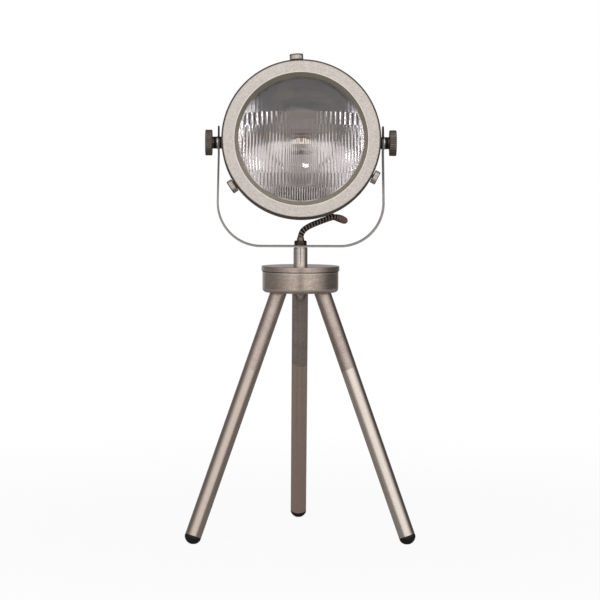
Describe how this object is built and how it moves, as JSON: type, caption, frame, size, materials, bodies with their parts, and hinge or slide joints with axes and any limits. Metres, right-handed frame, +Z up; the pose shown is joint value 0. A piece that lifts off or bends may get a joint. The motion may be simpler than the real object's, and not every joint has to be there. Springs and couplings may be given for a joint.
{
  "type": "tabletop searchlight lamp",
  "caption": "Tabletop lamp with a round tilting searchlight head, fluted glass and a U-shaped yoke that swivels on a tripod of splayed tubes.",
  "frame": {"origin": "on the table, in the middle of the outline of the whole lamp", "axes": "+Z up, -Y the way the head faces, +X to the right of someone who looks at the lens"},
  "size_m": [0.283, 0.2478, 0.6005],
  "materials": {
    "pewter": "satin",
    "leg_metal": "satin",
    "strap_metal": "satin",
    "bright_metal": "polished",
    "zinc": "satin",
    "bronze": "satin",
    "black_metal": "satin",
    "black_plastic": "matte",
    "rubber": "matte",
    "glass": "gloss",
    "bulb_glass": "gloss",
    "reflector": "polished",
    "ceramic": "matte",
    "braid": "matte",
    "core": "satin"
  },
  "bodies": {
    "tripod": {"hub_body": "pewter", "hub_lid": "pewter", "leg_rear": "leg_metal", "leg_left": "leg_metal", "leg_right": "leg_metal", "foot_rear": "rubber", "foot_left": "rubber", "foot_right": "rubber", "leg_plugs": "zinc", "leg_washers": "zinc", "leg_bolts": "zinc", "inlet_grommet": "rubber", "threaded_rod": "zinc", "cap_nut": "pewter", "floor_nut": "zinc", "lid_washer": "zinc", "lid_nut": "zinc", "stem_tube": "pewter", "stem_washer": "bright_metal", "gland_nut": "black_metal", "cord_bush": "bright_metal", "stem_lead": "braid", "terminal_block": "black_plastic", "supply_cores": "core"},
    "yoke": {"yoke_strap": "strap_metal", "tilt_washers": "bright_metal", "link_cord": "braid"},
    "head": {"head_shell": "pewter", "bezel_ring": "pewter", "lens": "glass", "lens_gasket": "rubber", "reflector": "reflector", "bulb": "bulb_glass", "lamp_holder": "ceramic", "holder_bracket": "zinc", "bracket_rivets": "zinc", "bezel_nuts": "zinc", "pivot_boss_left": "black_plastic", "pivot_boss_right": "black_plastic", "pivot_nuts": "zinc", "rear_gland": "black_plastic", "rear_gland_nut": "black_plastic", "head_lead": "braid"},
    "knob_left": {"knob_left": "bronze"},
    "knob_right": {"knob_right": "bronze"},
    "thumbscrew_top": {"thumbscrew_top": "pewter"},
    "thumbscrew_left": {"thumbscrew_left": "pewter"},
    "thumbscrew_right": {"thumbscrew_right": "pewter"}
  },
  "joints": [
    {"name": "yoke_swivel", "type": "hinge", "parent": "tripod", "child": "yoke", "pos_m": [0, -0.0378, 0.362], "axis": [0, 0, 1], "range_deg": [-160, 160]},
    {"name": "head_tilt", "type": "hinge", "parent": "yoke", "child": "head", "pos_m": [0, -0.0378, 0.4905], "axis": [-1, 0, 0], "range_deg": [-66, 34], "deforming": ["link_cord"]},
    {"name": "knob_left_turn", "type": "hinge", "parent": "head", "child": "knob_left", "pos_m": [-0.11, -0.0378, 0.4905], "axis": [-1, 0, 0], "continuous": true},
    {"name": "knob_right_turn", "type": "hinge", "parent": "head", "child": "knob_right", "pos_m": [0.11, -0.0378, 0.4905], "axis": [1, 0, 0], "continuous": true},
    {"name": "thumbscrew_top_turn", "type": "hinge", "parent": "head", "child": "thumbscrew_top", "pos_m": [-0.00582, -0.06038, 0.59134], "axis": [-0.0593, 0.1043, 0.9928], "continuous": true},
    {"name": "thumbscrew_left_turn", "type": "hinge", "parent": "head", "child": "thumbscrew_left", "pos_m": [-0.08114, -0.07638, 0.43911], "axis": [-0.8271, -0.0588, -0.559], "continuous": true},
    {"name": "thumbscrew_right_turn", "type": "hinge", "parent": "head", "child": "thumbscrew_right", "pos_m": [0.08772, -0.07521, 0.45026], "axis": [0.8942, -0.0468, -0.4453], "continuous": true}
  ]
}
